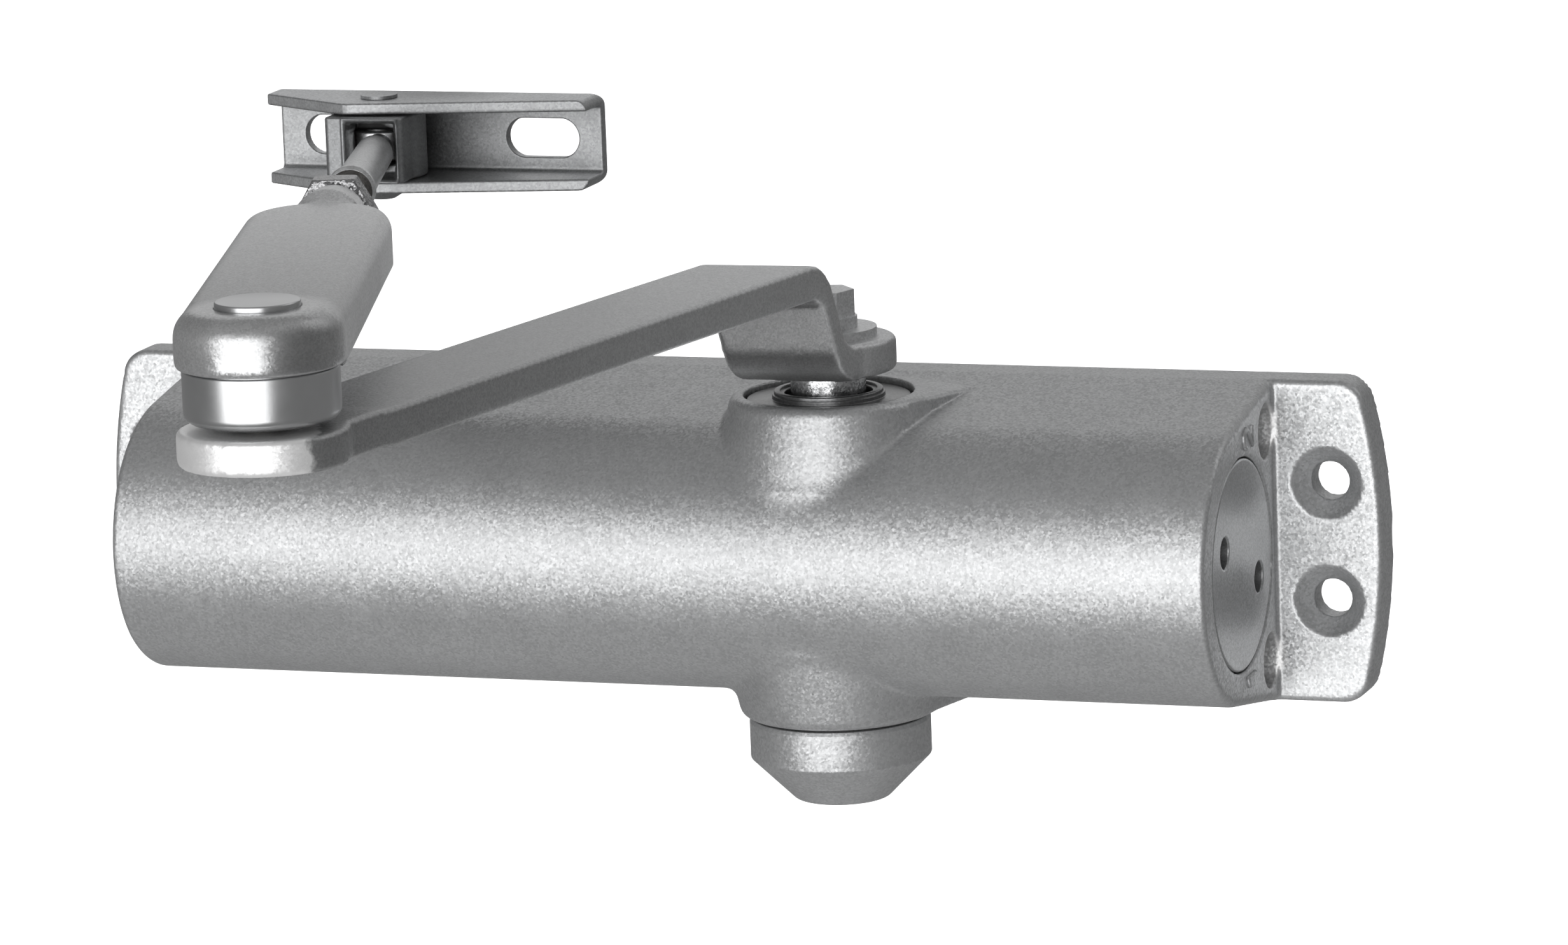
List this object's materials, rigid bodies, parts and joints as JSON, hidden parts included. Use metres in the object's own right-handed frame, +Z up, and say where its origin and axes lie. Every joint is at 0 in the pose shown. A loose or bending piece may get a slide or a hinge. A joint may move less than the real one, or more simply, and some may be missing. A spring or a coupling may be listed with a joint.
{
  "type": "overhead door closer",
  "caption": "Surface-mounted overhead door closer: cylindrical spring and oil body with a two-piece elbow arm, adjustable rod and channel shoe for the door frame.",
  "frame": {"origin": "centre of the four body screws, on the face that lies against the door", "axes": "+X along the body towards the end with the speed valves, +Y into the door, +Z up"},
  "size_m": [0.2178, 0.1945, 0.1102],
  "materials": {
    "casting_paint": "silver metallic paint with a fine sparkle, satin",
    "arm_paint": "silver-grey paint, satin",
    "polished_steel": "burnished steel with strong reflections",
    "zinc_steel": "bright zinc plate, slightly dull",
    "bright_steel": "turned steel",
    "dark_steel": "dark oiled steel",
    "spring_steel": "blued spring steel",
    "bearing_steel": "ground steel",
    "sintered_steel": "dull grey",
    "brass": "turned",
    "seal_rubber": "matt black",
    "seat_plastic": "ivory, matt"
  },
  "bodies": {
    "closer_body": {"body_casting": "casting_paint", "end_plug_right": "casting_paint", "end_plug_left": "casting_paint", "end_plug_seals": "seal_rubber", "lower_cap": "casting_paint", "bearing_retainer": "zinc_steel", "spindle_seal": "seal_rubber", "upper_bearing_race": "bearing_steel", "upper_bearing_rollers": "bearing_steel", "lower_bearing_race": "bearing_steel", "lower_bearing_rollers": "bearing_steel", "return_spring": "spring_steel", "valve_seals": "seal_rubber"},
    "spindle": {"pinion": "bright_steel", "main_arm": "arm_paint", "flat_washer": "zinc_steel", "spring_washer": "zinc_steel", "arm_screw": "zinc_steel", "ball_stud": "bright_steel"},
    "piston": {"piston": "sintered_steel", "check_valve_seat": "brass", "check_ball": "bearing_steel"},
    "valve_1": {"valve_screw_1": "bright_steel"},
    "valve_2": {"valve_screw_2": "bright_steel"},
    "elbow_seat": {"elbow_seat": "seat_plastic"},
    "forearm": {"forearm": "arm_paint", "elbow_lower_cup": "polished_steel", "elbow_plug": "polished_steel"},
    "lock_nut": {"lock_nut": "zinc_steel"},
    "rod": {"threaded_rod": "dark_steel"},
    "swivel_block": {"swivel_block": "zinc_steel"},
    "shoe": {"shoe_bracket": "zinc_steel", "shoe_pin": "zinc_steel"}
  },
  "joints": [
    {"name": "spindle_turn", "type": "hinge", "parent": "closer_body", "child": "spindle", "pos_m": [0.024, -0.0261, 0.026], "axis": [0, 0, -1], "range_deg": [0, 180], "stiffness_Nm_per_rad": 2, "springref_deg": -22.92},
    {"name": "piston_slide", "type": "slide", "parent": "closer_body", "child": "piston", "axis": [-1, 0, 0], "range_m": [0, 0.0275], "deforming": ["return_spring"]},
    {"name": "valve_1_turn", "type": "hinge", "parent": "closer_body", "child": "valve_1", "pos_m": [0.08, -0.011, -0.0185], "axis": [1, 0, 0], "range_deg": [-180, 180]},
    {"name": "valve_2_turn", "type": "hinge", "parent": "closer_body", "child": "valve_2", "pos_m": [0.08, -0.011, 0.0185], "axis": [1, 0, 0], "range_deg": [-180, 180]},
    {"name": "elbow_turn", "type": "hinge", "parent": "spindle", "child": "elbow_seat", "pos_m": [-0.00706, -0.18199, 0.0594], "axis": [0, 0, 1], "range_deg": [-5, 150]},
    {"name": "elbow_tilt", "type": "hinge", "parent": "elbow_seat", "child": "forearm", "pos_m": [-0.00706, -0.18199, 0.0594], "axis": [0.9608, 0.2773, 0], "range_deg": [-3, 5]},
    {"name": "lock_nut_turn", "type": "hinge", "parent": "forearm", "child": "lock_nut", "pos_m": [-0.03646, -0.08014, 0.0624], "axis": [-0.2773, 0.9608, 0], "range_deg": [-180, 180]},
    {"name": "rod_adjust", "type": "slide", "parent": "forearm", "child": "rod", "axis": [-0.2773, 0.9608, 0], "range_m": [-0.005, 0.015]},
    {"name": "block_swing", "type": "hinge", "parent": "rod", "child": "swivel_block", "pos_m": [-0.05598, -0.0125, 0.0624], "axis": [0, 0, 1], "range_deg": [-2.5, 16]},
    {"name": "shoe_pivot", "type": "hinge", "parent": "swivel_block", "child": "shoe", "pos_m": [-0.05598, -0.0125, 0.0624], "axis": [0, 0, 1], "range_deg": [-40, 40]}
  ],
  "couplings": [
    {"joint": "piston_slide", "follows": "spindle_turn", "m_per_rad": 0.00875}
  ]
}
